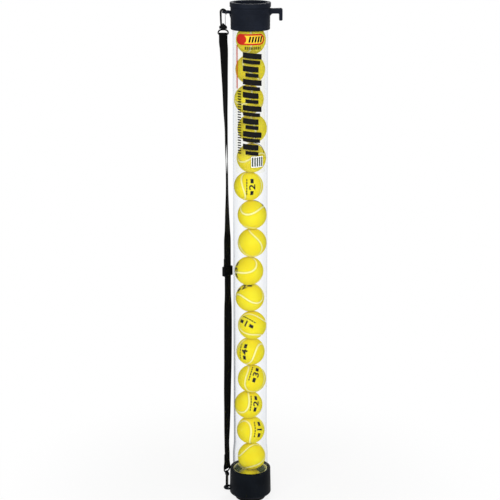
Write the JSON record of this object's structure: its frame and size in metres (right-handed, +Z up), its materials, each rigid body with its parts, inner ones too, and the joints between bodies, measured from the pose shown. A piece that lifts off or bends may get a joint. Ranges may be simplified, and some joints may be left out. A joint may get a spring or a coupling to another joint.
{
  "type": "tennis ball pickup tube",
  "caption": "Clear upright tube full of tennis balls, with a soft pickup mouth and fingers at the foot, an open collar with a fence hook, and a webbing shoulder strap on snap hooks.",
  "frame": {"origin": "centre of the foot, on the ground, on the axis of the tube", "axes": "+Z up along the tube, -Y the front with the print, -X the side of the strap, +X the side of the fence hook"},
  "size_m": [0.1441, 0.0996, 1.19],
  "materials": {
    "clear_tube": "clear, polished",
    "print_film": "clear print film",
    "black_plastic": "moulded, satin black",
    "soft_rubber": "soft matt black",
    "finger_plastic": "flexible, dull dark grey green",
    "ball_felt": "yellow felt",
    "hook_metal": "black coated die casting",
    "webbing": "black woven webbing",
    "slider_plastic": "moulded black"
  },
  "bodies": {
    "root": {"tube": "clear_tube", "print_film": "print_film", "top_collar": "black_plastic", "head": "black_plastic", "mouth_ring": "soft_rubber", "liner": "finger_plastic", "upper_hook": "hook_metal", "upper_gate_pin": "hook_metal", "lower_hook": "hook_metal", "lower_gate_pin": "hook_metal", "strap_main": "webbing", "strap_return": "webbing"},
    "ball_column": {"ball_01": "ball_felt", "ball_02": "ball_felt", "ball_03": "ball_felt", "ball_04": "ball_felt", "ball_05": "ball_felt", "ball_06": "ball_felt", "ball_07": "ball_felt", "ball_08": "ball_felt", "ball_09": "ball_felt", "ball_10": "ball_felt", "ball_11": "ball_felt", "ball_12": "ball_felt", "ball_13": "ball_felt", "ball_14": "ball_felt", "ball_15": "ball_felt", "ball_16": "ball_felt", "ball_17": "ball_felt"},
    "finger_1": {"finger_1": "finger_plastic"},
    "finger_2": {"finger_2": "finger_plastic"},
    "finger_3": {"finger_3": "finger_plastic"},
    "slider": {"slider": "slider_plastic", "strap_slider_fold": "webbing"},
    "upper_eye": {"upper_eye": "hook_metal", "strap_top_fold": "webbing"},
    "lower_eye": {"lower_eye": "hook_metal", "strap_bottom_fold": "webbing"},
    "upper_gate": {"upper_gate": "hook_metal"},
    "lower_gate": {"lower_gate": "hook_metal"}
  },
  "joints": [
    {"name": "ball_column_slide", "type": "slide", "parent": "root", "child": "ball_column", "axis": [0, 0, 1], "range_m": [0, 0.048]},
    {"name": "finger_1_hinge", "type": "hinge", "parent": "root", "child": "finger_1", "pos_m": [-0.03521, -0.01642, 0.07487], "axis": [0.4226, -0.9063, 0], "range_deg": [0, 33.5]},
    {"name": "finger_2_hinge", "type": "hinge", "parent": "root", "child": "finger_2", "pos_m": [0.03182, -0.02228, 0.07487], "axis": [0.5736, 0.8191, 0], "range_deg": [0, 33.5]},
    {"name": "finger_3_hinge", "type": "hinge", "parent": "root", "child": "finger_3", "pos_m": [0.00339, 0.0387, 0.07487], "axis": [-0.9962, 0.0872, 0], "range_deg": [0, 33.5]},
    {"name": "slider_slide", "type": "slide", "parent": "root", "child": "slider", "axis": [0, 0, 1], "range_m": [-0.04, 0.04], "deforming": ["strap_return"]},
    {"name": "upper_swivel", "type": "hinge", "parent": "root", "child": "upper_eye", "pos_m": [-0.06, 0, 1.1682], "axis": [0, 0, 1], "range_deg": [-60, 60]},
    {"name": "lower_swivel", "type": "hinge", "parent": "root", "child": "lower_eye", "pos_m": [-0.05641, 0.00799, 0.022], "axis": [0, 0, 1], "range_deg": [-5, 60]},
    {"name": "upper_gate_hinge", "type": "hinge", "parent": "root", "child": "upper_gate", "pos_m": [-0.0551, 0, 1.1372], "axis": [0, -1, 0], "range_deg": [0, 12], "stiffness_Nm_per_rad": 0.05, "springref_deg": -14.32},
    {"name": "lower_gate_hinge", "type": "hinge", "parent": "root", "child": "lower_gate", "pos_m": [-0.05473, 0.00338, 0.053], "axis": [0.9397, 0.342, 0], "range_deg": [0, 12], "stiffness_Nm_per_rad": 0.05, "springref_deg": -14.32}
  ],
  "couplings": [
    {"joint": "finger_1_hinge", "follows": "ball_column_slide", "rad_per_m": 12},
    {"joint": "finger_2_hinge", "follows": "ball_column_slide", "rad_per_m": 12},
    {"joint": "finger_3_hinge", "follows": "ball_column_slide", "rad_per_m": 12}
  ]
}
